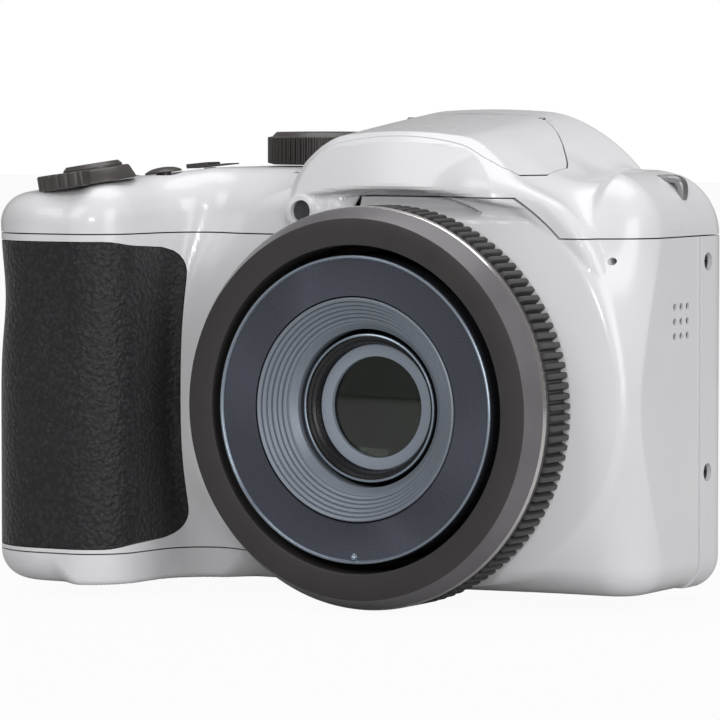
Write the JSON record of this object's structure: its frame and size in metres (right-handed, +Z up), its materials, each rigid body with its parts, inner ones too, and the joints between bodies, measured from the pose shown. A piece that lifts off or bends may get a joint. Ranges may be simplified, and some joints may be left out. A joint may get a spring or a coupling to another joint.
{
  "type": "bridge camera",
  "caption": "Bridge camera with a telescoping zoom lens in a ribbed ring, a deep rubber-covered grip, a pop-up flash over the lens, a mode dial and a rear display.",
  "frame": {"origin": "under the middle of the part's box, level with the lowest point of the lens ring", "axes": "+X to the plain side of the body, away from the grip; +Y from the lens to the display; +Z up"},
  "size_m": [0.114, 0.0578, 0.0814],
  "materials": {
    "white_plastic": "gloss paint over moulded plastic",
    "grip_rubber": "pebbled rubber skin",
    "ring_charcoal": "satin charcoal anodised",
    "knurl_black": "matte black ribbed",
    "barrel_dark": "spun dark anodised",
    "barrel_grey": "grey anodised, stepped",
    "black_plastic": "matte",
    "retainer_grey": "satin",
    "lens_glass": "coated optical glass",
    "clear_window": "clear moulded window",
    "control_grey": "dark warm grey, semi-gloss",
    "steel": "plain steel",
    "bright_metal": "polished",
    "screen_black": "hard-coated display window",
    "button_grey": "silver-grey paint",
    "record_red": "red dot button",
    "circuit_green": "solder mask",
    "chassis_steel": "pressed sheet",
    "cell_grey": "moulded pack"
  },
  "bodies": {
    "body": {"front_cover": "white_plastic", "top_cover": "white_plastic", "rear_cover": "white_plastic", "bottom_cover": "white_plastic", "grip_rubber": "grip_rubber", "lens_front_ring": "ring_charcoal", "knurled_ring": "knurl_black", "fixed_barrel": "black_plastic", "guide_rods": "steel", "image_sensor": "circuit_green", "zoom_motor": "steel", "af_lamp": "clear_window", "microphone": "black_plastic", "speaker": "black_plastic", "flash_hinge_pin": "steel", "strap_lugs": "steel", "side_screws": "steel", "base_screws": "steel", "tripod_socket": "steel", "door_hinge_pin": "steel", "lcd_window": "screen_black", "lcd_panel": "screen_black", "chassis": "chassis_steel", "main_board": "circuit_green", "battery_pack": "cell_grey", "memory_card": "cell_grey", "flash_capacitor": "black_plastic"},
    "outer_barrel": {"outer_barrel": "barrel_dark"},
    "inner_barrel": {"inner_barrel": "barrel_grey", "front_cell": "black_plastic", "element_retainer": "retainer_grey", "front_element": "lens_glass"},
    "zoom_group": {"zoom_group": "black_plastic"},
    "zoom_lever": {"zoom_lever": "control_grey"},
    "shutter_button": {"shutter_button": "control_grey"},
    "drive_button": {"drive_button": "control_grey"},
    "power_switch": {"power_switch": "control_grey"},
    "mode_dial": {"mode_dial": "control_grey"},
    "flash": {"flash_lid": "white_plastic", "flash_window": "clear_window", "flash_reflector": "bright_metal", "flash_tube": "clear_window"},
    "battery_door": {"battery_door": "white_plastic"},
    "door_latch": {"door_latch": "button_grey"},
    "four_way_pad": {"four_way_pad": "button_grey"},
    "ok_button": {"ok_button": "button_grey"},
    "record_button": {"record_button": "record_red"},
    "flash_release": {"flash_release": "button_grey"},
    "menu_button": {"menu_button": "button_grey"},
    "delete_button": {"delete_button": "button_grey"},
    "port_cover": {"port_cover": "grip_rubber"}
  },
  "joints": [
    {"name": "barrel_slide", "type": "slide", "parent": "body", "child": "outer_barrel", "axis": [0, -1, 0], "range_m": [0, 0.018]},
    {"name": "inner_barrel_slide", "type": "slide", "parent": "outer_barrel", "child": "inner_barrel", "axis": [0, -1, 0], "range_m": [0, 0.016]},
    {"name": "zoom_group_slide", "type": "slide", "parent": "body", "child": "zoom_group", "axis": [0, -1, 0], "range_m": [0, 0.01]},
    {"name": "zoom_lever_turn", "type": "hinge", "parent": "body", "child": "zoom_lever", "pos_m": [-0.039, -0.01815, 0.06888], "axis": [-0.1379, -0.0748, 0.9876], "range_deg": [-22, 22], "stiffness_Nm_per_rad": 0.02},
    {"name": "shutter_button_press", "type": "slide", "parent": "body", "child": "shutter_button", "axis": [0.1379, 0.0748, -0.9876], "range_m": [0, 0.001], "stiffness_N_per_m": 400},
    {"name": "drive_button_press", "type": "slide", "parent": "body", "child": "drive_button", "axis": [0.1239, 0.052, -0.9909], "range_m": [0, 0.0003], "stiffness_N_per_m": 400},
    {"name": "power_switch_slide", "type": "slide", "parent": "body", "child": "power_switch", "axis": [0.995, 0, 0.0995], "range_m": [0, 0.0025]},
    {"name": "mode_dial_turn", "type": "hinge", "parent": "body", "child": "mode_dial", "pos_m": [-0.0148, 0.01675, 0.0716], "axis": [0, 0, 1], "continuous": true},
    {"name": "flash_hinge", "type": "hinge", "parent": "body", "child": "flash", "pos_m": [0.014, 0.01845, 0.07945], "axis": [-1, 0, 0], "range_deg": [0, 52]},
    {"name": "battery_door_hinge", "type": "hinge", "parent": "body", "child": "battery_door", "pos_m": [-0.0509, 0.00085, 0.0034], "axis": [0, 1, 0], "range_deg": [0, 95]},
    {"name": "door_latch_slide", "type": "slide", "parent": "battery_door", "child": "door_latch", "axis": [1, 0, 0], "range_m": [0, 0.0029]},
    {"name": "four_way_pad_rock", "type": "hinge", "parent": "body", "child": "four_way_pad", "pos_m": [-0.036, 0.02705, 0.029], "axis": [1, 0, 0], "range_deg": [-2, 2], "stiffness_Nm_per_rad": 0.3},
    {"name": "ok_button_press", "type": "slide", "parent": "body", "child": "ok_button", "axis": [0, -1, 0], "range_m": [0, 0.0005], "stiffness_N_per_m": 400},
    {"name": "record_button_press", "type": "slide", "parent": "body", "child": "record_button", "axis": [0, -1, 0], "range_m": [0, 0.0005], "stiffness_N_per_m": 400},
    {"name": "flash_release_press", "type": "slide", "parent": "body", "child": "flash_release", "axis": [0, -1, 0], "range_m": [0, 0.0005], "stiffness_N_per_m": 400},
    {"name": "menu_button_press", "type": "slide", "parent": "body", "child": "menu_button", "axis": [0, -1, 0], "range_m": [0, 0.0005], "stiffness_N_per_m": 400},
    {"name": "delete_button_press", "type": "slide", "parent": "body", "child": "delete_button", "axis": [0, -1, 0], "range_m": [0, 0.0005], "stiffness_N_per_m": 400},
    {"name": "port_cover_hinge", "type": "hinge", "parent": "body", "child": "port_cover", "pos_m": [-0.0568, 0.00885, 0.019], "axis": [0, -1, 0], "range_deg": [0, 100]}
  ],
  "couplings": [
    {"joint": "inner_barrel_slide", "follows": "barrel_slide", "ratio": 0.88889},
    {"joint": "zoom_group_slide", "follows": "barrel_slide", "ratio": 0.55556}
  ]
}
